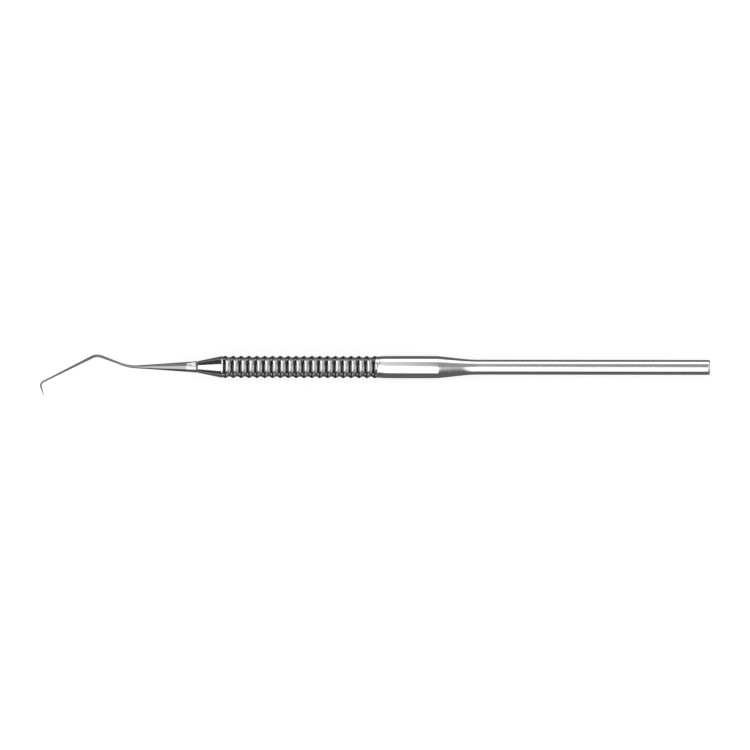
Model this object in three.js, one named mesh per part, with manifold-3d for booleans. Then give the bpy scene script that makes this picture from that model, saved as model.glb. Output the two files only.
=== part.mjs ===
// Dental explorer: a hooked explorer tip screwed into a turned steel handle.
// Millimetres, +Z up. The instrument lies on its side: X runs along the handle, from the hook at -X
// to the rod's flat end at +X, and the hook and its bends lie in the level plane of the axis.
import * as THREE from 'three';
import { mergeVertices } from 'three/addons/utils/BufferGeometryUtils.js';
import Module from 'manifold-3d';

// ---- Handle, measured from its nose ----
const handleLength = 126.3;
const noseDiameter = 2.87;
const noseChamfer = 0.18;
const gripDiameter = 5.5; // over the rings and the barrel
const coneLength = 5.75;
const coneEndDrop = 0.15; // below the grip's radius, as the drops that follow
const shoulderLength = 0.4; // from the cone's end to the shoulder's edge
const shoulderDrop = 0.1;
const firstGrooveLength = 0.18; // from the shoulder's edge
const firstGrooveDrop = 0.21;
const firstRingLength = 0.66; // from the first groove to the first crest
const ringCount = 20;
const ringPitch = 1.936;
const ringDepth = 0.38;
const ringCrestRadius = 0.45;
const ringFootRadius = 0.5;
const ringFlank = THREE.MathUtils.degToRad(32);
const lastGrooveLength = 0.726; // from the last crest
const lastGrooveDrop = 0.18;
const barrelShoulder = 2.1; // from the last groove to the barrel's full diameter
const barrelLength = 12.8;
const taperAngle = THREE.MathUtils.degToRad(6.3);
const blendRadius = 40; // hollow curve between the taper and the rod
const rodDiameter = 3.68;
const rodEdgeRadius = 0.5;

// ---- Screw joint between the tip and the handle ----
const studDiameter = 1.37; // mean diameter of an M1.6 thread
const studLength = 7;
const studChamfer = 0.25;
const reliefDiameter = 1.1;
const reliefLength = 0.8;
const studClearance = 0.15; // round the stud in its socket
const studEndClearance = 0.8; // beyond the stud's end in its socket
const mouthChamfer = 0.15;
const drillPointAngle = THREE.MathUtils.degToRad(31);
const seatGap = 0.3; // between the tip's shoulder and the nose
const seatStep = 0.025; // the tip's shoulder is this much smaller round than the nose

// ---- Working end, measured along its centreline's corners ----
const shankLength = 16.5; // seat to shank bend
const neckLength = 8.46; // shank bend to crown
const armLength = 15.66; // crown to hook
const pointLength = 3.25; // hook to needle point
const neckAngle = THREE.MathUtils.degToRad(20.6); // the neck rises from the axis
const armAngle = THREE.MathUtils.degToRad(26.8); // the arm falls from the crown
const pointAngle = THREE.MathUtils.degToRad(72.9); // the needle point falls and turns back
const shankBendRadius = 11;
const crownRadius = 3.1;
const hookRadius = 1.1;
const needleDiameter = 0.08; // at the very point
const hookDiameter = 0.38;
const crownDiameter = 0.66;
const neckDiameter = 0.52;
const shankRootDiameter = 0.76; // where the shank bend ends
const seatChamfer = 0.05;
const shankHollow = 0.03; // how far the shank's side dips below a straight taper
const flatsAcross = 2.4;
const flatsLength = 2.1;
const flatsSetback = 0.1; // from the seat
const flatsTurn = THREE.MathUtils.degToRad(28); // the thread stops with the flats turned this far

// ---- Facets ----
const handleSides = 16;
const tipSides = 12;
const curveSteps = 4; // on each shoulder, blend and edge
const bendStep = 0.2; // turn of the centreline per facet in a bend, in radians
const straightStep = 3;

const noseRadius = noseDiameter / 2;
const gripRadius = gripDiameter / 2;
const seatRadius = noseRadius - seatStep;
const socketRadius = studDiameter / 2 + studClearance;
const shoulderAt = coneLength + shoulderLength;
const firstGrooveAt = shoulderAt + firstGrooveLength;
const firstRingAt = firstGrooveAt + firstRingLength;
const lastGrooveAt = firstRingAt + (ringCount - 1) * ringPitch + lastGrooveLength;
const barrelStart = lastGrooveAt + barrelShoulder;
const barrelEnd = barrelStart + barrelLength;

// Points from a crest, where the surface runs level, round a circular arc to a lower end.
function arcFromCrest(crestX, crestRadius, endX, endRadius, steps) {
  const run = endX - crestX;
  const drop = crestRadius - endRadius;
  const arcRadius = (run * run + drop * drop) / (2 * drop);
  const sweep = Math.asin(run / arcRadius);
  const points = [];
  for (let i = 0; i <= steps; i++) {
    const angle = (sweep * i) / steps;
    const x = crestX + arcRadius * Math.sin(angle);
    points.push([x, crestRadius - arcRadius * (1 - Math.cos(angle))]);
  }
  return points;
}

function socketProfile() {
  const depth = studLength - seatGap + studEndClearance;
  return [
    [depth + socketRadius * Math.tan(drillPointAngle), 0],
    [depth, socketRadius],
    [mouthChamfer, socketRadius],
    [0, socketRadius + mouthChamfer],
  ];
}

// [x, drop] down one side of a ring: edge of the crest, straight flank, filleted foot.
const ringSide = (() => {
  const rounding = (ringCrestRadius + ringFootRadius) * (1 - Math.cos(ringFlank));
  const flankDrop = ringDepth - rounding;
  const edgeX = ringCrestRadius * Math.sin(ringFlank);
  const edgeDrop = ringCrestRadius * (1 - Math.cos(ringFlank));
  const footX = edgeX + flankDrop / Math.tan(ringFlank);
  const grooveX = footX + ringFootRadius * Math.sin(ringFlank);
  return [[edgeX, edgeDrop], [footX, edgeDrop + flankDrop], [grooveX, ringDepth]];
})();

function gripProfile() {
  const points = [
    [coneLength, gripRadius - coneEndDrop],
    [shoulderAt, gripRadius - shoulderDrop],
    [firstGrooveAt, gripRadius - firstGrooveDrop],
  ];
  for (let i = 0; i < ringCount; i++) {
    const crest = firstRingAt + i * ringPitch;
    const rise = i === 0 ? ringSide.slice(0, 1) : ringSide;
    const fall = i === ringCount - 1 ? ringSide.slice(0, 1) : ringSide;
    for (const [x, drop] of rise.toReversed()) points.push([crest - x, gripRadius - drop]);
    points.push([crest, gripRadius]);
    for (const [x, drop] of fall) points.push([crest + x, gripRadius - drop]);
  }
  return points;
}

function rodProfile() {
  const rodRadius = rodDiameter / 2;
  const taperCorner = barrelEnd + (gripRadius - rodRadius) / Math.tan(taperAngle);
  const blendReach = blendRadius * Math.tan(taperAngle / 2);
  const lastGroove = gripRadius - lastGrooveDrop;
  const points = arcFromCrest(barrelStart, gripRadius, lastGrooveAt, lastGroove, curveSteps).reverse();
  points.push([barrelEnd, gripRadius]);
  for (let i = 0; i <= curveSteps; i++) {
    const angle = taperAngle * (1 - i / curveSteps);
    const x = taperCorner + blendReach - blendRadius * Math.sin(angle);
    points.push([x, rodRadius + blendRadius * (1 - Math.cos(angle))]);
  }
  for (let i = 0; i <= curveSteps; i++) {
    const angle = (Math.PI / 2) * (i / curveSteps);
    const x = handleLength - rodEdgeRadius * (1 - Math.sin(angle));
    points.push([x, rodRadius - rodEdgeRadius * (1 - Math.cos(angle))]);
  }
  points.push([handleLength, 0]);
  return points;
}

// A solid turned about X from [x, radius] points. Its flats, not its corners, lie at the radius, and
// one flat faces straight down.
function turned(profile, sides) {
  const cornerFactor = 1 / Math.cos(Math.PI / sides);
  const points = profile.map(([x, radius]) => new THREE.Vector2(radius * cornerFactor, x));
  const geometry = new THREE.LatheGeometry(points, sides, Math.PI / sides);
  return geometry.rotateZ(-Math.PI / 2);
}

function handleGeometry() {
  const nose = [
    [0, noseRadius - noseChamfer],
    [noseChamfer, noseRadius],
  ];
  return turned([...socketProfile(), ...nose, ...gripProfile(), ...rodProfile()], handleSides);
}

// The centreline's corners in its own plane, from the needle point to the seat.
function centrelineCorners() {
  const seat = new THREE.Vector2(-seatGap, 0);
  const shankBend = seat.clone().add(new THREE.Vector2(-shankLength, 0));
  const neckWay = new THREE.Vector2(-Math.cos(neckAngle), Math.sin(neckAngle));
  const crown = shankBend.clone().addScaledVector(neckWay, neckLength);
  const armWay = new THREE.Vector2(-Math.cos(armAngle), -Math.sin(armAngle));
  const hook = crown.clone().addScaledVector(armWay, armLength);
  const pointWay = new THREE.Vector2(Math.cos(pointAngle), -Math.sin(pointAngle));
  const point = hook.clone().addScaledVector(pointWay, pointLength);
  return [point, hook, crown, shankBend, seat];
}

// The arc that rounds a corner, with the ends where it meets the straight stretches.
function bendAt(before, corner, after, radius) {
  const arriving = corner.clone().sub(before).normalize();
  const leaving = after.clone().sub(corner).normalize();
  const reach = radius * Math.tan(Math.acos(arriving.dot(leaving)) / 2);
  const start = corner.clone().addScaledVector(arriving, -reach);
  const end = corner.clone().addScaledVector(leaving, reach);
  const clockwise = arriving.cross(leaving) < 0;
  const inward = new THREE.Vector2(-arriving.y, arriving.x).multiplyScalar(clockwise ? -1 : 1);
  const centre = start.clone().addScaledVector(inward, radius);
  const startAngle = start.clone().sub(centre).angle();
  const endAngle = end.clone().sub(centre).angle();
  const arc = new THREE.EllipseCurve(centre.x, centre.y, radius, radius, startAngle, endAngle, clockwise);
  return { start, end, arc };
}

function workingEndCentreline() {
  const corners = centrelineCorners();
  const radii = [hookRadius, crownRadius, shankBendRadius];
  const path = new THREE.CurvePath();
  let from = corners[0];
  radii.forEach((radius, i) => {
    const { start, end, arc } = bendAt(corners[i], corners[i + 1], corners[i + 2], radius);
    path.add(new THREE.LineCurve(from, start));
    path.add(arc);
    from = end;
  });
  path.add(new THREE.LineCurve(from, corners.at(-1)));
  return path;
}

// [distance from the point, radius] along the straightened working end, up to its seat.
function wireProfile(centreline) {
  const diameters = [
    needleDiameter, hookDiameter, hookDiameter, crownDiameter,
    crownDiameter, neckDiameter, shankRootDiameter, 2 * seatRadius,
  ];
  const points = [[0, 0], [0, needleDiameter / 2]];
  let travelled = 0;
  centreline.curves.forEach((curve, k) => {
    const length = curve.getLength();
    const isBend = curve.type === 'EllipseCurve';
    const steps = Math.ceil(length / (isBend ? bendStep * curve.xRadius : straightStep));
    const hollow = k === centreline.curves.length - 1 ? shankHollow : 0;
    for (let i = 1; i <= steps; i++) {
      const part = i / steps;
      const diameter = THREE.MathUtils.lerp(diameters[k], diameters[k + 1], part);
      points.push([travelled + length * part, diameter / 2 - hollow * Math.sin(Math.PI * part)]);
    }
    travelled += length;
  });
  return points;
}

function studProfile(seatAt) {
  const studRadius = studDiameter / 2;
  const reliefRadius = reliefDiameter / 2;
  const reliefEnd = seatAt + reliefLength;
  const studEnd = seatAt + studLength;
  return [
    [seatAt, seatRadius - seatChamfer],
    [seatAt, reliefRadius],
    [reliefEnd, reliefRadius],
    [reliefEnd + studRadius - reliefRadius, studRadius],
    [studEnd - studChamfer, studRadius],
    [studEnd, studRadius - studChamfer],
    [studEnd, 0],
  ];
}

// Carries a straight solid along the centreline, as the real tip is ground straight and then bent.
function bendAlong(geometry, centreline) {
  const length = centreline.getLength();
  const positions = geometry.attributes.position;
  for (let i = 0; i < positions.count; i++) {
    const distance = positions.getX(i);
    const sideways = positions.getY(i);
    const share = Math.min(distance / length, 1);
    const place = centreline.getPoint(share);
    const way = centreline.getTangent(share);
    const beyondSeat = Math.max(distance - length, 0);
    const x = place.x + way.x * beyondSeat - way.y * sideways;
    const y = place.y + way.y * beyondSeat + way.x * sideways;
    positions.setXY(i, x, y);
  }
  return geometry;
}

const wasm = await Module();
wasm.setup();

function toSolid(geometry) {
  const bare = geometry.clone();
  bare.deleteAttribute('normal');
  bare.deleteAttribute('uv');
  const merged = mergeVertices(bare, 1e-5);
  const vertProperties = new Float32Array(merged.attributes.position.array);
  const triVerts = new Uint32Array(merged.index.array);
  return new wasm.Manifold(new wasm.Mesh({ numProp: 3, vertProperties, triVerts }));
}

function toGeometry(solid) {
  const { vertProperties, triVerts } = solid.getMesh();
  const geometry = new THREE.BufferGeometry();
  geometry.setAttribute('position', new THREE.BufferAttribute(vertProperties, 3));
  geometry.setIndex(new THREE.BufferAttribute(triVerts, 1));
  return geometry;
}

// What a cutter takes off one side of the shank for a wrench flat.
function flatCutter(side) {
  const width = 3 * seatRadius;
  const depth = 2 * seatRadius;
  const cutter = new THREE.BoxGeometry(flatsLength, width, depth);
  cutter.translate(-seatGap - flatsSetback - flatsLength / 2, 0, (side * (flatsAcross + depth)) / 2);
  return toSolid(cutter.rotateX(-flatsTurn));
}

function workingEndGeometry() {
  const centreline = workingEndCentreline();
  const wire = wireProfile(centreline);
  const seatAt = wire.at(-1)[0];
  wire.splice(-1, 1, [seatAt - seatChamfer, wire.at(-1)[1]]);
  const straight = turned([...wire, ...studProfile(seatAt)], tipSides);
  const bent = toSolid(bendAlong(straight, centreline));
  return toGeometry(bent.subtract(flatCutter(1)).subtract(flatCutter(-1)));
}

const polishedSteel = new THREE.MeshStandardMaterial({ color: 0xc9cacb, roughness: 0.16, metalness: 1 });
const hardenedSteel = new THREE.MeshStandardMaterial({ color: 0xb4b5b6, roughness: 0.22, metalness: 1 });

function part(name, geometry, material) {
  const mesh = new THREE.Mesh(geometry, material);
  mesh.name = name;
  return mesh;
}

const explorer = new THREE.Group();
explorer.add(part('handle', handleGeometry(), polishedSteel));
explorer.add(part('working_end', workingEndGeometry(), hardenedSteel));

// The origin is on the tray, under the middle of the whole instrument.
const extent = new THREE.Box3().setFromObject(explorer);
const middle = extent.getCenter(new THREE.Vector3());
explorer.position.set(-middle.x, -middle.y, -extent.min.z);

export default explorer;
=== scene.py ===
# Dental explorer: fine meshes, polished steel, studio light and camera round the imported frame.
# Lengths named with _MM are in millimetres, and places along the axis count from the handle's nose.
import math

import bmesh
import bpy
from mathutils import Matrix, Vector


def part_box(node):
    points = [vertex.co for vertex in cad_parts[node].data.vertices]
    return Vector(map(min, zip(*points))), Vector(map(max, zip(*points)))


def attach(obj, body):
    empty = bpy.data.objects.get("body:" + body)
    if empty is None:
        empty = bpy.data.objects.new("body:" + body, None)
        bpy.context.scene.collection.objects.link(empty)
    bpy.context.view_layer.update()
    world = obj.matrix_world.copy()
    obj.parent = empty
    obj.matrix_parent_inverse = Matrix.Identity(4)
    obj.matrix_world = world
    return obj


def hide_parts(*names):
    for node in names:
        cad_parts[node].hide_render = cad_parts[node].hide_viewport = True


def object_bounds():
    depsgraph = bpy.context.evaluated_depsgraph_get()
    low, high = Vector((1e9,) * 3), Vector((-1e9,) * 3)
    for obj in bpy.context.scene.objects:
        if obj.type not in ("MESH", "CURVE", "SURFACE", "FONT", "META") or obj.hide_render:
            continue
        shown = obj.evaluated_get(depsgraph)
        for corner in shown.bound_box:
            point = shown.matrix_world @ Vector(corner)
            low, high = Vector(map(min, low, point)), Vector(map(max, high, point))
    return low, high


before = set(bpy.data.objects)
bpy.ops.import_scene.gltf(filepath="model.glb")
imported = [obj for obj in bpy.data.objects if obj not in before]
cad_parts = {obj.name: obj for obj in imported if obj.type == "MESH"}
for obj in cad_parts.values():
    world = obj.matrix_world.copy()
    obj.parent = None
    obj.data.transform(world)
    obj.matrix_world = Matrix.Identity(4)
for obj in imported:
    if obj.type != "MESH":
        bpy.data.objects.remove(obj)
CAD_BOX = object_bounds()

MM = 0.001
HANDLE_LOW, HANDLE_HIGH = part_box("handle")
AXIS_START = Vector((
    HANDLE_LOW.x,
    (HANDLE_LOW.y + HANDLE_HIGH.y) / 2,
    (HANDLE_LOW.z + HANDLE_HIGH.z) / 2,
))

# ---- Handle; a pair of lengths is a place along the axis and a radius ----
HANDLE_LENGTH_MM = (HANDLE_HIGH.x - HANDLE_LOW.x) / MM
GRIP_RADIUS_MM = (HANDLE_HIGH.z - HANDLE_LOW.z) / MM / 2
NOSE_RADIUS_MM = 1.435
NOSE_CHAMFER_MM = 0.2
CONE_LENGTH_MM = 5.75
CONE_END_RADIUS_MM = 2.60
SHOULDER_CREST_MM = (6.15, 2.65)
FIRST_GROOVE_MM = (6.33, 2.54)
FIRST_RING_MM = 6.99
RING_COUNT = 20
RING_PITCH_MM = 1.936
LAST_CREST_MM = FIRST_RING_MM + (RING_COUNT - 1) * RING_PITCH_MM
RING_DEPTH_MM = 0.38
RING_CREST_RADIUS_MM = 0.45
RING_FOOT_RADIUS_MM = 0.5
RING_FLANK = math.radians(32)
LAST_GROOVE_MM = (44.5, 2.57)
GROOVE_MARGIN_MM = 0.05
BARREL_START_MM = 46.6
BARREL_END_MM = 59.4
BARREL_CROWN_MM = 0.03
CREASE_MARGIN_MM = 0.4
CREASE_RADIUS_MM = 4.0
TAPER_ANGLE = math.radians(6.3)
BLEND_RADIUS_MM = 40.0
ROD_RADIUS_MM = 1.84
ROD_EDGE_MM = 0.36
ROD_EDGE_LEAD_MM = 0.04

# ---- Screw thread ----
THREAD_PITCH_MM = 0.35
THREAD_DEPTH_MM = 0.19
THREAD_ROOT_SHARE = 0.2
THREAD_FLANK_SHARE = 0.65
STUD_RADIUS_MM = 0.80
STUD_LENGTH_MM = 7.0
STUD_CHAMFER_MM = 0.25
RELIEF_RADIUS_MM = 0.55
RELIEF_LENGTH_MM = 0.8
SOCKET_RADIUS_MM = 0.835
SOCKET_DEPTH_MM = 7.5
SOCKET_CHAMFER_MM = 0.15
SOCKET_RUNOUT_MM = 0.8
DRILL_POINT_ANGLE = math.radians(31)
SEAT_GAP_MM = 0.03

# ---- Working end, by the corners of its centreline ----
SHANK_LENGTH_MM = 16.77
NECK_LENGTH_MM = 8.46
ARM_LENGTH_MM = 15.66
POINT_LENGTH_MM = 3.25
NECK_ANGLE = math.radians(20.6)
ARM_ANGLE = math.radians(26.8)
POINT_ANGLE = math.radians(72.9)
BEND_RADII_MM = (1.1, 3.1, 11.0)
SEAT_RADIUS_MM = 1.41
SEAT_CHAMFER_MM = 0.04
SHANK_HOLLOW_MM = 0.03
WIRE_RADII_MM = (0.04, 0.19, 0.19, 0.33, 0.33, 0.26, 0.38, SEAT_RADIUS_MM)
POINT_ROUNDING = 0.6
FLATS_ACROSS_MM = 2.4
FLATS_LENGTH_MM = 2.1
FLATS_SETBACK_MM = 0.3
FLATS_TURN = math.radians(28)

# ---- Fineness ----
HANDLE_SIDES = 112
TIP_SIDES = 64
ARC_STEPS = 6
BLEND_STEPS = 2 * ARC_STEPS
CREASE_STEPS = 4
CONE_STEPS = 12
BARREL_STEPS = 24
TAPER_STEPS = 10
ROD_STEPS = 40
WIRE_STEP_MM = 0.5
BEND_STEP_ANGLE = 0.06
THREAD_STATIONS_PER_TURN = 10
SHARP_ANGLE = math.radians(28)


def arc_from_crest(crest_x, crest_r, end_x, end_r, steps):
    """Points of the arc that runs level at a crest and comes down to an end."""
    run, drop = end_x - crest_x, crest_r - end_r
    radius = (run * run + drop * drop) / (2 * drop)
    sweep = math.asin(run / radius)
    turns = [sweep * i / steps for i in range(steps + 1)]
    return [(crest_x + radius * math.sin(a), crest_r - radius * (1 - math.cos(a))) for a in turns]


def evenly(start, end, count):
    """Evenly spaced points from one to another, with both of them."""
    shares = [i / count for i in range(count + 1)]
    return [(start[0] + (end[0] - start[0]) * s, start[1] + (end[1] - start[1]) * s) for s in shares]


def ring_half(crest_x, side):
    """One side of a ring: rounded crest, straight flank and filleted foot, down to the flat groove."""
    crest, foot, angle = RING_CREST_RADIUS_MM, RING_FOOT_RADIUS_MM, RING_FLANK
    flank = (RING_DEPTH_MM - (crest + foot) * (1 - math.cos(angle))) / math.sin(angle)
    points = []
    for i in range(ARC_STEPS + 1):
        a = angle * i / ARC_STEPS
        points.append((crest * math.sin(a), -crest * (1 - math.cos(a))))
    foot_x = points[-1][0] + flank * math.cos(angle) + foot * math.sin(angle)
    for i in range(ARC_STEPS + 1):
        a = angle * (1 - i / ARC_STEPS)
        points.append((foot_x - foot * math.sin(a), foot * (1 - math.cos(a)) - RING_DEPTH_MM))
    return [(crest_x + side * x, GRIP_RADIUS_MM + drop) for x, drop in points]


def grip_profile():
    """The conical nose, its shoulder, and the rings."""
    cone_end = (CONE_LENGTH_MM, CONE_END_RADIUS_MM)
    points = evenly((NOSE_CHAMFER_MM, NOSE_RADIUS_MM), cone_end, CONE_STEPS)
    points += arc_from_crest(*SHOULDER_CREST_MM, *cone_end, ARC_STEPS)[::-1][1:] + [FIRST_GROOVE_MM]
    for i in range(RING_COUNT):
        crest = FIRST_RING_MM + i * RING_PITCH_MM
        rise = ring_half(crest, -1)[::-1]
        points += rise if i else rise[ARC_STEPS + 1:]
        points += ring_half(crest, 1)[1:]
    last_x, last_r = (length - GROOVE_MARGIN_MM for length in LAST_GROOVE_MM)
    return [(x, r) for x, r in points if x < LAST_CREST_MM or (x < last_x and r > last_r)]


def barrel_and_rod_profile():
    """The crowned barrel, the crease where the taper starts, the taper and the rod."""
    barrel_r = GRIP_RADIUS_MM - BARREL_CROWN_MM
    points = arc_from_crest(BARREL_START_MM, barrel_r, *LAST_GROOVE_MM, ARC_STEPS)[::-1]
    middle = (BARREL_START_MM + BARREL_END_MM) / 2
    half = (BARREL_END_MM - BARREL_START_MM) / 2
    barrel_end = (BARREL_END_MM - CREASE_MARGIN_MM, barrel_r)
    for x, r in evenly((BARREL_START_MM, barrel_r), barrel_end, BARREL_STEPS)[1:]:
        points.append((x, r + BARREL_CROWN_MM * (1 - ((x - middle) / half) ** 2)))
    for i in range(CREASE_STEPS + 1):
        a = TAPER_ANGLE * i / CREASE_STEPS
        x = BARREL_END_MM + CREASE_RADIUS_MM * (math.sin(a) - math.tan(TAPER_ANGLE / 2))
        points.append((x, barrel_r - CREASE_RADIUS_MM * (1 - math.cos(a))))
    taper_corner = BARREL_END_MM + (barrel_r - ROD_RADIUS_MM) / math.tan(TAPER_ANGLE)
    reach = BLEND_RADIUS_MM * math.tan(TAPER_ANGLE / 2)
    blend = []
    for i in range(BLEND_STEPS + 1):
        angle = TAPER_ANGLE * (1 - i / BLEND_STEPS)
        x = taper_corner + reach - BLEND_RADIUS_MM * math.sin(angle)
        blend.append((x, ROD_RADIUS_MM + BLEND_RADIUS_MM * (1 - math.cos(angle))))
    points += evenly(points[-1], blend[0], TAPER_STEPS)[1:-1] + blend
    rod_end = (HANDLE_LENGTH_MM - ROD_EDGE_MM - ROD_EDGE_LEAD_MM, ROD_RADIUS_MM)
    points += evenly(blend[-1], rod_end, ROD_STEPS)[1:]
    for i in range(ARC_STEPS + 1):
        angle = math.pi / 2 * i / ARC_STEPS
        x = HANDLE_LENGTH_MM - ROD_EDGE_MM * (1 - math.sin(angle))
        points.append((x, ROD_RADIUS_MM - ROD_EDGE_MM * (1 - math.cos(angle))))
    return points + [(HANDLE_LENGTH_MM, 0.0)]


def thread_height(x, angle):
    """0 at the root and 1 at the crest of a right-hand thread."""
    phase = (x / THREAD_PITCH_MM - angle / (2 * math.pi)) % 1.0
    slope = abs(phase - 0.5) * 2
    return min(max((slope - THREAD_ROOT_SHARE) / THREAD_FLANK_SHARE, 0.0), 1.0)


def thread_stations(start, end):
    """Places along a thread, close enough together to show its shape."""
    count = round((end - start) / THREAD_PITCH_MM * THREAD_STATIONS_PER_TURN)
    return [start + (end - start) * i / count for i in range(count + 1)]


def socket_stations():
    """The blind tapped socket, from its drilled bottom to the nose: (x, radius, thread depth)."""
    bottom = SOCKET_DEPTH_MM + SOCKET_RADIUS_MM * math.tan(DRILL_POINT_ANGLE)
    stations = [(bottom, 0.0, 0.0), (SOCKET_DEPTH_MM, SOCKET_RADIUS_MM, 0.0)]
    threaded = thread_stations(SOCKET_CHAMFER_MM, SOCKET_DEPTH_MM - SOCKET_RUNOUT_MM)[::-1]
    for x in threaded:
        fade = min(1.0, (threaded[0] - x) / THREAD_PITCH_MM)
        stations.append((x, SOCKET_RADIUS_MM, THREAD_DEPTH_MM * fade))
    return stations + [(0.0, SOCKET_RADIUS_MM + SOCKET_CHAMFER_MM, 0.0)]


def skin(name, rings):
    """A closed mesh from rings of points; a ring of one point closes an end."""
    mesh = bmesh.new()
    made = [[mesh.verts.new(p) for p in ring] for ring in rings]
    for near, far in zip(made, made[1:]):
        count = max(len(near), len(far))
        for i in range(count):
            j = (i + 1) % count
            near_pair = [near[i % len(near)], near[j % len(near)]]
            far_pair = [far[j % len(far)], far[i % len(far)]]
            mesh.faces.new(list(dict.fromkeys(near_pair + far_pair)))
    bmesh.ops.recalc_face_normals(mesh, faces=mesh.faces)
    data = bpy.data.meshes.new(name)
    mesh.to_mesh(data)
    mesh.free()
    data.shade_smooth()
    data.set_sharp_from_angle(angle=SHARP_ANGLE)
    piece = bpy.data.objects.new(name, data)
    bpy.context.scene.collection.objects.link(piece)
    return piece


def axis_point(x, radius, angle):
    """A point round the handle's axis, x and radius in millimetres."""
    around = Vector((x, radius * math.cos(angle), radius * math.sin(angle)))
    return AXIS_START + around * MM


def turned_ring(x, radius, thread_depth):
    """A ring round the handle's axis, or its one point where the radius is 0."""
    if radius <= 0:
        return [axis_point(x, 0, 0)]
    angles = [2 * math.pi * i / HANDLE_SIDES for i in range(HANDLE_SIDES)]
    return [axis_point(x, radius + thread_depth * thread_height(x, a), a) for a in angles]


def make_handle():
    """One closed turned piece, from the socket's bottom round the nose to the rod's flat end."""
    outside = [(0.0, NOSE_RADIUS_MM - NOSE_CHAMFER_MM)] + grip_profile() + barrel_and_rod_profile()
    stations = socket_stations() + [(x, r, 0.0) for x, r in outside]
    piece = skin("turned_handle", [turned_ring(*station) for station in stations])
    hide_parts("handle")
    return piece


def centreline_corners():
    """The corners from the needle point to the seat, in the level plane, in millimetres."""
    seat = Vector((-SEAT_GAP_MM, 0))
    shank_bend = seat - Vector((SHANK_LENGTH_MM, 0))
    crown = shank_bend + NECK_LENGTH_MM * Vector((-math.cos(NECK_ANGLE), math.sin(NECK_ANGLE)))
    hook = crown + ARM_LENGTH_MM * Vector((-math.cos(ARM_ANGLE), -math.sin(ARM_ANGLE)))
    point = hook + POINT_LENGTH_MM * Vector((math.cos(POINT_ANGLE), -math.sin(POINT_ANGLE)))
    return [point, hook, crown, shank_bend, seat]


def rounded_path(corners, radii):
    """The centreline's stretches, straight and bent by turns: (length, step, place and way)."""
    stretches = []
    start = corners[0]
    for before, corner, after, radius in zip(corners, corners[1:], corners[2:], radii):
        arriving, leaving = (corner - before).normalized(), (after - corner).normalized()
        turn = math.atan2(arriving.x * leaving.y - arriving.y * leaving.x, arriving.dot(leaving))
        reach = radius * math.tan(abs(turn) / 2)
        stretches.append(straight(start, corner - arriving * reach))
        stretches.append(bent(corner - arriving * reach, arriving, turn, radius))
        start = corner + leaving * reach
    stretches.append(straight(start, corners[-1]))
    return stretches


def straight(start, end):
    """A straight stretch: its length, its step, and its place and way at a distance."""
    way = (end - start).normalized()
    return (end - start).length, WIRE_STEP_MM, lambda distance: (start + way * distance, way)


def bent(start, arriving, turn, radius):
    """A bend, described in the same way as a straight stretch."""
    inward = Vector((-arriving.y, arriving.x)) * math.copysign(1, turn)
    centre = start + inward * radius

    def at(distance):
        swing = Matrix.Rotation(math.copysign(distance / radius, turn), 2)
        return centre - swing @ inward * radius, swing @ arriving

    return abs(turn) * radius, BEND_STEP_ANGLE * radius, at


def section(place, way, radius, extra=None):
    """A ring of points across the centreline; extra gives what the radius gains at an angle."""
    side = Vector((-way.y, way.x))
    points = []
    for i in range(TIP_SIDES):
        angle = 2 * math.pi * i / TIP_SIDES
        r = radius + (extra(angle) if extra else 0.0)
        level = place + side * r * math.cos(angle)
        points.append(AXIS_START + Vector((level.x, level.y, r * math.sin(angle))) * MM)
    return points


def wire_rings():
    """From the needle point to the seat's edge."""
    stretches = rounded_path(centreline_corners(), BEND_RADII_MM)
    place, way = stretches[0][2](0.0)
    tip = place - way * WIRE_RADII_MM[0] * POINT_ROUNDING
    rings = [[AXIS_START + Vector((tip.x, tip.y, 0)) * MM]]
    last = len(stretches) - 1
    for k, (length, step, at) in enumerate(stretches):
        count = max(2, math.ceil(length / step))
        for i in range(0 if k == 0 else 1, count + 1):
            share = i / count
            if k == last:
                share *= 1 - SEAT_CHAMFER_MM / length
            radius = WIRE_RADII_MM[k] + (WIRE_RADII_MM[k + 1] - WIRE_RADII_MM[k]) * share
            radius -= SHANK_HOLLOW_MM * math.sin(math.pi * share) if k == last else 0.0
            rings.append(section(*at(length * share), radius))
    return rings


def stud_section(x, radius, thread_depth=0.0):
    """A ring of the stud, at a distance behind the seating shoulder."""
    place, ahead = Vector((x - SEAT_GAP_MM, 0)), Vector((1, 0))
    return section(place, ahead, radius, lambda angle: thread_depth * thread_height(x, angle))


def stud_rings():
    """The seating shoulder, the relief and the threaded stud."""
    root = STUD_RADIUS_MM - THREAD_DEPTH_MM
    thread_start = RELIEF_LENGTH_MM + (root - RELIEF_RADIUS_MM)
    thread_end = STUD_LENGTH_MM - STUD_CHAMFER_MM
    rings = [
        stud_section(0.0, SEAT_RADIUS_MM - SEAT_CHAMFER_MM),
        stud_section(0.0, RELIEF_RADIUS_MM),
        stud_section(RELIEF_LENGTH_MM, RELIEF_RADIUS_MM),
    ]
    for x in thread_stations(thread_start, thread_end):
        fade = min(1.0, (x - thread_start) / THREAD_PITCH_MM, (thread_end - x) / THREAD_PITCH_MM)
        rings.append(stud_section(x, root, THREAD_DEPTH_MM * max(fade, 0.0)))
    rings.append(stud_section(STUD_LENGTH_MM, root - STUD_CHAMFER_MM))
    return rings + [[AXIS_START + Vector((STUD_LENGTH_MM - SEAT_GAP_MM, 0, 0)) * MM]]


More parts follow.
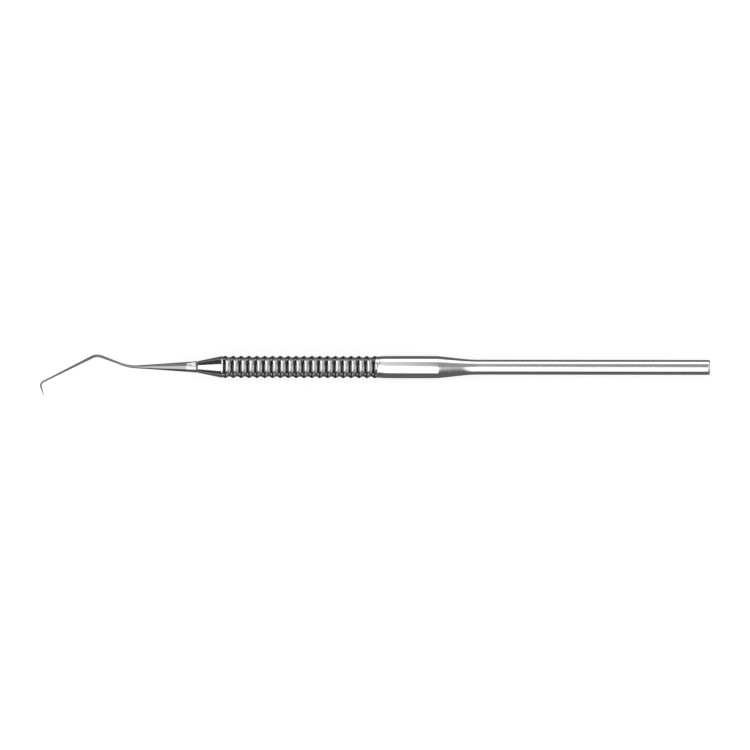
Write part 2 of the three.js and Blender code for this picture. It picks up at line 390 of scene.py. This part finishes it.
def cut_wrench_flats(piece):
    """Cuts the two flats, turned about the axis as the tightened thread leaves them."""
    depth, width = 2 * SEAT_RADIUS_MM, 3 * SEAT_RADIUS_MM
    middle = -SEAT_GAP_MM - FLATS_SETBACK_MM - FLATS_LENGTH_MM / 2
    cutter_mesh = bmesh.new()
    for side in (1, -1):
        place = Matrix.Translation(AXIS_START) @ Matrix.Rotation(-FLATS_TURN, 4, "X")
        offset = Vector((middle, 0, side * (FLATS_ACROSS_MM + depth) / 2)) * MM
        size = Matrix.Diagonal(Vector((FLATS_LENGTH_MM, width, depth, 1 / MM)) * MM)
        bmesh.ops.create_cube(cutter_mesh, size=1, matrix=place @ Matrix.Translation(offset) @ size)
    data = bpy.data.meshes.new("flats_cutter")
    cutter_mesh.to_mesh(data)
    cutter_mesh.free()
    cutter = bpy.data.objects.new("flats_cutter", data)
    bpy.context.scene.collection.objects.link(cutter)
    cut = piece.modifiers.new("flats", "BOOLEAN")
    cut.operation, cut.solver, cut.object = "DIFFERENCE", "EXACT", cutter
    bpy.context.view_layer.update()
    evaluated = piece.evaluated_get(bpy.context.evaluated_depsgraph_get())
    finished = bpy.data.meshes.new_from_object(evaluated)
    piece.modifiers.clear()
    piece.data = finished
    finished.shade_smooth()
    finished.set_sharp_from_angle(angle=SHARP_ANGLE)
    bpy.data.objects.remove(cutter)


def make_working_end():
    """One closed piece, from the needle point to the stud's end."""
    piece = skin("explorer_tip", wire_rings() + stud_rings())
    cut_wrench_flats(piece)
    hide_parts("working_end")
    return piece


# ---- Materials ----
HANDLE_COLOUR = (0.80, 0.803, 0.81, 1)
GROOVE_COLOUR = (0.42, 0.416, 0.412, 1)
# Near-black colour painted on the ring crests as a dark reflection.
CREST_PAINTED_REFLECTION_COLOUR = (0.14, 0.139, 0.137, 1)
SHANK_COLOUR = (0.42, 0.422, 0.428, 1)
FLATS_COLOUR = (0.66, 0.662, 0.67, 1)
# Near-black colour painted as shade along the seat line between tip and handle, and over the stud.
SEAT_PAINTED_SHADE_COLOUR = (0.16, 0.159, 0.157, 1)
WIRE_COLOUR = (0.2, 0.199, 0.197, 1)
HANDLE_ROUGHNESS = (0.09, 0.15)
GROOVE_ROUGHNESS = 0.42
SHANK_ROUGHNESS = (0.13, 0.2)
WIRE_ROUGHNESS = 0.32
NOISE_ROUGHNESS = 0.55
HANDLE_CLOUD_SCALE, HANDLE_CLOUD = 0.16, 0.96
SHANK_CLOUD_SCALE, SHANK_CLOUD = 0.8, 0.93
GRIME_SCALE = 1.3
GRIME_BAND = (0.2, 0.6)
GRIME_FADE = 0.75
MARKS_BAND = (0.3, 0.7)
TURNING_STRETCH = (14.0, 0.25, 0.25)
TURNING_DEPTH_MM = 0.0006
GRINDING_STRETCH = (0.5, 12.0, 12.0)
GRINDING_DEPTH_MM = 0.0012
SCRATCHES = (((0.35, 9.0, 9.0), 1.1), ((1.6, 4.0, 12.0), 0.9))
SCRATCH_WIDTH = 0.006
SCRATCH_ROUGHNESS = 0.08
SCRATCH_HEIGHT = -0.6

# Each pair is where a zone of the steel starts and where it is full.
RINGS_FROM_MM = (6.1, 6.4)
RINGS_TO_MM = (44.8, 44.4)
GROOVE_RADII_MM = (2.68, 2.40)
# By radius, where the painted dark reflection on the crests starts and where it is full.
CREST_REFLECTION_RADII_MM = (2.68, 2.73)
WIRE_FROM_MM = (-9.0, -20.0)
FLATS_FROM_MM = (-2.9, -2.4)
# Where the painted shade at the seat starts and where it is full.
SEAT_SHADE_FROM_MM = (-0.36, -0.26)


def math_node(tree, operation, *values):
    """A Math node; each value is a number or another node's output."""
    node = tree.nodes.new("ShaderNodeMath")
    node.operation = operation
    for socket, value in zip(node.inputs, values):
        if isinstance(value, (int, float)):
            socket.default_value = value
        else:
            tree.links.new(value, socket)
    return node.outputs[0]


def ramp_node(tree, value, low, high, to_low=0.0, to_high=1.0):
    """A smooth change from one level to another as the value goes from low to high."""
    node = tree.nodes.new("ShaderNodeMapRange")
    node.interpolation_type = "SMOOTHSTEP"
    tree.links.new(value, node.inputs["Value"])
    node.inputs["From Min"].default_value, node.inputs["From Max"].default_value = low, high
    for name, level in (("To Min", to_low), ("To Max", to_high)):
        if isinstance(level, (int, float)):
            node.inputs[name].default_value = level
        else:
            tree.links.new(level, node.inputs[name])
    return node.outputs["Result"]


def colour_mix(tree, share, low, high):
    """A mix of two colours, each a colour value or another node's output."""
    node = tree.nodes.new("ShaderNodeMix")
    node.data_type = "RGBA"
    tree.links.new(share, node.inputs["Factor"])
    for socket, colour in ((node.inputs["A"], low), (node.inputs["B"], high)):
        if isinstance(colour, tuple):
            socket.default_value = colour
        else:
            tree.links.new(colour, socket)
    return node.outputs["Result"]


def clouded(tree, point, scale, detail, share, colour):
    """A colour that wanders softly between a share of itself and its full value."""
    dim = tuple(c * share for c in colour[:3]) + (1,)
    return colour_mix(tree, noise_node(tree, point, scale, detail), dim, colour)


def noise_node(tree, vector, scale, detail=3.0):
    """A soft noise from 0 to 1."""
    node = tree.nodes.new("ShaderNodeTexNoise")
    node.inputs["Scale"].default_value = scale
    node.inputs["Detail"].default_value = detail
    node.inputs["Roughness"].default_value = NOISE_ROUGHNESS
    tree.links.new(vector, node.inputs["Vector"])
    return node.outputs["Fac"]


def axis_coordinates(tree):
    """In millimetres from the nose: the point, its distance along the axis, and its radius."""
    where = tree.nodes.new("ShaderNodeVectorMath")
    where.operation = "MULTIPLY_ADD"
    tree.links.new(tree.nodes.new("ShaderNodeTexCoord").outputs["Object"], where.inputs[0])
    where.inputs[1].default_value = (1 / MM, 1 / MM, 1 / MM)
    where.inputs[2].default_value = -AXIS_START / MM
    split = tree.nodes.new("ShaderNodeSeparateXYZ")
    tree.links.new(where.outputs[0], split.inputs[0])
    across = math_node(tree, "MULTIPLY", split.outputs["Y"], split.outputs["Y"])
    squares = math_node(tree, "MULTIPLY_ADD", split.outputs["Z"], split.outputs["Z"], across)
    return where.outputs[0], split.outputs["X"], math_node(tree, "SQRT", squares)


def stretched(tree, point, stretch):
    """A point scaled along each axis, so that a noise on it comes out as long marks."""
    node = tree.nodes.new("ShaderNodeVectorMath")
    node.operation = "MULTIPLY"
    tree.links.new(point, node.inputs[0])
    node.inputs[1].default_value = stretch
    return node.outputs[0]


def bump(tree, height, depth_mm, shader):
    """Raises the shader's surface by the depth where the height is 1."""
    node = tree.nodes.new("ShaderNodeBump")
    node.inputs["Strength"].default_value = 1.0
    node.inputs["Distance"].default_value = depth_mm * MM
    tree.links.new(height, node.inputs["Height"])
    tree.links.new(node.outputs[0], shader.inputs["Normal"])


def new_steel(name):
    """A metal material, its tree and its shader."""
    material = bpy.data.materials.new(name)
    material.use_nodes = True
    shader = material.node_tree.nodes["Principled BSDF"]
    shader.inputs["Metallic"].default_value = 1.0
    return material, material.node_tree, shader


def fine_scratches(tree, point):
    """Sparse hairline marks, lengthwise and slanted, 1 on a mark and 0 off it."""
    lines = []
    for stretch, scale in SCRATCHES:
        noise = noise_node(tree, stretched(tree, point, stretch), scale, 2.0)
        off_line = math_node(tree, "ABSOLUTE", math_node(tree, "SUBTRACT", noise, 0.5))
        lines.append(ramp_node(tree, off_line, 0.0, SCRATCH_WIDTH, 1.0, 0.0))
    return math_node(tree, "MAXIMUM", *lines)


def ring_masks(tree, point, along, radius):
    """The grip's ring grooves, unevenly soiled, and the painted dark reflection on its ring crests, 1 on
    them and 0 off them.
    """
    start, end = ramp_node(tree, along, *RINGS_FROM_MM), ramp_node(tree, along, *RINGS_TO_MM)
    grip = math_node(tree, "MULTIPLY", start, end)
    groove = math_node(tree, "MULTIPLY", grip, ramp_node(tree, radius, *GROOVE_RADII_MM))
    grime = ramp_node(tree, noise_node(tree, point, GRIME_SCALE), *GRIME_BAND, GRIME_FADE, 1.0)
    # The crests get a painted dark reflection, not a colour of the steel.
    crest = math_node(tree, "MULTIPLY", grip, ramp_node(tree, radius, *CREST_REFLECTION_RADII_MM))
    return math_node(tree, "MULTIPLY", groove, grime), crest


def handle_steel():
    """Turned and buffed steel with marks round its axis, dull grooves, a painted dark reflection on the
    crests, and scratches.
    """
    material, tree, shader = new_steel("handle_polished_steel")
    point, along, radius = axis_coordinates(tree)
    groove, crest = ring_masks(tree, point, along, radius)
    bright = clouded(tree, point, HANDLE_CLOUD_SCALE, 2.0, HANDLE_CLOUD, HANDLE_COLOUR)
    grooved = colour_mix(tree, groove, bright, GROOVE_COLOUR)
    # Mixes the painted dark crest reflection over the steel and groove colours.
    tree.links.new(colour_mix(tree, crest, grooved, CREST_PAINTED_REFLECTION_COLOUR), shader.inputs["Base Color"])
    turning = noise_node(tree, stretched(tree, point, TURNING_STRETCH), 1.0, 4.0)
    scratches = fine_scratches(tree, point)
    polish = ramp_node(tree, turning, *MARKS_BAND, *HANDLE_ROUGHNESS)
    polish = math_node(tree, "MULTIPLY_ADD", scratches, SCRATCH_ROUGHNESS, polish)
    roughness = ramp_node(tree, groove, 0.0, 1.0, polish, GROOVE_ROUGHNESS)
    tree.links.new(roughness, shader.inputs["Roughness"])
    height = math_node(tree, "MULTIPLY_ADD", scratches, SCRATCH_HEIGHT, turning)
    bump(tree, height, TURNING_DEPTH_MM, shader)
    return material


def tip_steel():
    """Ground and hardened steel: polished at the shank, darker and satin along the thin wire, with painted
    shade where it seats and over the stud.
    """
    material, tree, shader = new_steel("tip_polished_steel")
    point, along, _ = axis_coordinates(tree)
    shank = clouded(tree, point, SHANK_CLOUD_SCALE, 3.0, SHANK_CLOUD, SHANK_COLOUR)
    milled = colour_mix(tree, ramp_node(tree, along, *FLATS_FROM_MM), shank, FLATS_COLOUR)
    # Painted shade: dark from the seat line on, over the seat and the stud.
    seat_shaded = colour_mix(tree, ramp_node(tree, along, *SEAT_SHADE_FROM_MM), milled, SEAT_PAINTED_SHADE_COLOUR)
    wire = ramp_node(tree, along, *WIRE_FROM_MM)
    tree.links.new(colour_mix(tree, wire, seat_shaded, WIRE_COLOUR), shader.inputs["Base Color"])
    ground = noise_node(tree, stretched(tree, point, GRINDING_STRETCH), 1.0, 4.0)
    polish = ramp_node(tree, ground, *MARKS_BAND, *SHANK_ROUGHNESS)
    roughness = ramp_node(tree, wire, 0.0, 1.0, polish, WIRE_ROUGHNESS)
    tree.links.new(roughness, shader.inputs["Roughness"])
    bump(tree, ground, GRINDING_DEPTH_MM, shader)
    return material


# ---- Studio, in metres; a panel's U and V run along its sides from 0 to 1 ----
ROOM_RADIUS = 3
ROOM_DARK_TO_DIM = (-1.5, 0.0)
ROOM_LEVELS = (0.015, 0.13)
OVERHEAD_LEVELS = (1.4, 1.4)
FILL_LEVELS = (0.75, 0.22)
FILL_CHANGE = (0.22, 0.28)
BACK_LEVELS = (1.4, 1.4)
TABLE_RIGHT_LEVELS = (0.5, 0.5)
TABLE_LEFT_LEVELS = (0.55, 0.55)
END_LEVELS = (1.3, 1.3)
TABLE_RIGHT_HEIGHT = -0.15
TABLE_LEFT_HEIGHT = -0.12
CEILING = 0.4
BACK_WALL = 0.4
END_WALL = 0.5
FLOOR_HALF = 4
FLOOR_COLOUR = (0.25, 0.25, 0.25, 1)
FLOOR_GLOW = 0.8
CAMERA_HEIGHT = 0.6
CAMERA_WIDTH = 0.1847
CAMERA_RISE = 0.00014
CAMERA_TURN = math.radians(0.06)


def glow(name, see_through):
    """An emission material, its tree and its strength; it is never sampled as a lamp."""
    material = bpy.data.materials.new(name)
    material.use_nodes = True
    tree = material.node_tree
    tree.nodes.clear()
    emission = tree.nodes.new("ShaderNodeEmission")
    surface = emission.outputs[0]
    if see_through:
        both = tree.nodes.new("ShaderNodeAddShader")
        tree.links.new(surface, both.inputs[0])
        tree.links.new(tree.nodes.new("ShaderNodeBsdfTransparent").outputs[0], both.inputs[1])
        surface = both.outputs[0]
    tree.links.new(surface, tree.nodes.new("ShaderNodeOutputMaterial").inputs["Surface"])
    material.cycles.emission_sampling = "NONE"
    return material, tree, emission.inputs["Strength"]


def texture_xy(tree, kind):
    """The first two texture coordinates of a kind."""
    split = tree.nodes.new("ShaderNodeSeparateXYZ")
    tree.links.new(tree.nodes.new("ShaderNodeTexCoord").outputs[kind], split.inputs[0])
    return split.outputs["X"], split.outputs["Y"]


def seen_only_in_metal(name, mesh, material):
    """Puts up a glowing mesh that only mirror rays meet."""
    mesh.materials.append(material)
    thing = bpy.data.objects.new(name, mesh)
    bpy.context.scene.collection.objects.link(thing)
    thing.visible_camera = thing.visible_diffuse = thing.visible_shadow = False
    thing.visible_transmission = thing.visible_volume_scatter = False


def panel(name, corners, levels, soft_u, soft_v, change=(0, 1)):
    """A light panel: its levels at low and high U, its soft edges, and where the level changes."""
    mesh = bpy.data.meshes.new(name)
    mesh.from_pydata([Vector(c) for c in corners], [], [(0, 1, 2, 3)])
    uv = mesh.uv_layers.new(name="UVMap")
    for loop, place in zip(uv.data, [(0, 0), (1, 0), (1, 1), (0, 1)]):
        loop.uv = place
    material, tree, strength = glow(name, see_through=True)
    u, v = texture_xy(tree, "UV")
    level = ramp_node(tree, u, *change, *levels)
    for along, (low_soft, high_soft) in ((u, soft_u), (v, soft_v)):
        level = math_node(tree, "MULTIPLY", level, ramp_node(tree, along, 0, low_soft))
        level = math_node(tree, "MULTIPLY", level, ramp_node(tree, along, 1, 1 - high_soft))
    tree.links.new(level, strength)
    seen_only_in_metal(name, mesh, material)


def surround():
    """The dim room round the instrument, darkest beyond the hook."""
    ball = bmesh.new()
    bmesh.ops.create_icosphere(ball, subdivisions=4, radius=ROOM_RADIUS)
    mesh = bpy.data.meshes.new("surround")
    ball.to_mesh(mesh)
    ball.free()
    material, tree, strength = glow("surround", see_through=False)
    x, _ = texture_xy(tree, "Object")
    tree.links.new(ramp_node(tree, x, *ROOM_DARK_TO_DIM, *ROOM_LEVELS), strength)
    seen_only_in_metal("surround", mesh, material)


def level_corners(left, right, near, far, height):
    """A level rectangle's corners, with U to the right and V from near to far."""
    return [(left, near, height), (right, near, height), (right, far, height), (left, far, height)]


def wall_corners(left, right, low, high, y):
    """The corners of a rectangle on the wall behind, with U to the right and V upwards."""
    return [(left, y, low), (right, y, low), (right, y, high), (left, y, high)]


def end_corners(near, far, low, high, x):
    """The corners of a rectangle on the end wall, with U from near to far and V upwards."""
    return [(x, near, low), (x, far, low), (x, far, high), (x, near, high)]


def make_lights():
    """The panels that the metal mirrors: overhead, fill, behind, on the table and beyond the rod."""
    overhead = [(-0.3, -0.45, CEILING), (0.12, -1.1, CEILING), (0.12, 0.03, CEILING), (-0.3, 0.33, CEILING)]
    panel("overhead_panel", overhead, OVERHEAD_LEVELS, (0.08, 0.08), (0.08, 0.08))
    fill = level_corners(-0.15, 0.5, -0.02, 0.5, CEILING)
    panel("fill_panel", fill, FILL_LEVELS, (0.1, 0.1), (0.15, 0.05), FILL_CHANGE)
    back = wall_corners(-0.11, 0.6, -0.05, 0.36, BACK_WALL)
    panel("back_strip", back, BACK_LEVELS, (0.06, 0.1), (0.15, 0.35))
    table = level_corners(0.15, 0.9, -0.9, -0.2, TABLE_RIGHT_HEIGHT)
    panel("table_glow", table, TABLE_RIGHT_LEVELS, (0.2, 0.2), (0.2, 0.2))
    for name, near, far in (("table_glow_behind", 0.2, 1.2), ("table_glow_front", -0.2, -1.2)):
        table = level_corners(-1.3, -0.16, near, far, TABLE_LEFT_HEIGHT)
        panel(name, table, TABLE_LEFT_LEVELS, (0.2, 0.1), (0.1, 0.2))
    end = end_corners(-0.4, 0.5, 0.05, 1.1, END_WALL)
    panel("end_panel", end, END_LEVELS, (0.1, 0.1), (0.1, 0.1))


def make_floor():
    """The plain pale paper that the instrument lies on."""
    mesh = bpy.data.meshes.new("floor")
    corners = level_corners(-FLOOR_HALF, FLOOR_HALF, -FLOOR_HALF, FLOOR_HALF, 0)
    mesh.from_pydata(corners, [], [(0, 1, 2, 3)])
    floor = bpy.data.objects.new("floor", mesh)
    bpy.context.scene.collection.objects.link(floor)
    paper = bpy.data.materials.new("floor_paper")
    paper.use_nodes = True
    shader = paper.node_tree.nodes["Principled BSDF"]
    shader.inputs["Base Color"].default_value = FLOOR_COLOUR
    shader.inputs["Roughness"].default_value = 1.0
    shader.inputs["Specular IOR Level"].default_value = 0.0
    shader.inputs["Emission Color"].default_value = (1, 1, 1, 1)
    shader.inputs["Emission Strength"].default_value = FLOOR_GLOW
    mesh.materials.append(paper)
    floor.visible_glossy = False


def make_camera():
    """Looks straight down on the instrument, as the photo does."""
    low, high = CAD_BOX
    data = bpy.data.cameras.new("camera")
    data.type = "ORTHO"
    data.ortho_scale = CAMERA_WIDTH
    data.clip_start, data.clip_end = 0.01, 10
    camera = bpy.data.objects.new("camera", data)
    middle_x, middle_y = (low.x + high.x) / 2, (low.y + high.y) / 2
    camera.location = (middle_x, middle_y + CAMERA_RISE, CAMERA_HEIGHT)
    camera.rotation_euler.z = CAMERA_TURN
    bpy.context.scene.collection.objects.link(camera)
    bpy.context.scene.camera = camera


def make_world():
    """A white sky that lights the paper and never shows in the metal."""
    world = bpy.data.worlds.new("studio")
    world.use_nodes = True
    sky = world.node_tree.nodes["Background"]
    sky.inputs["Color"].default_value = (1, 1, 1, 1)
    sky.inputs["Strength"].default_value = 1.0
    world.cycles_visibility.glossy = False
    bpy.context.scene.world = world


handle = make_handle()
working_end = make_working_end()
handle.data.materials.clear()
handle.data.materials.append(handle_steel())
working_end.data.materials.clear()
working_end.data.materials.append(tip_steel())
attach(handle, "handle")
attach(working_end, "tip")

make_world()
make_floor()
make_camera()
surround()
make_lights()
bpy.context.scene.view_settings.view_transform = "Standard"
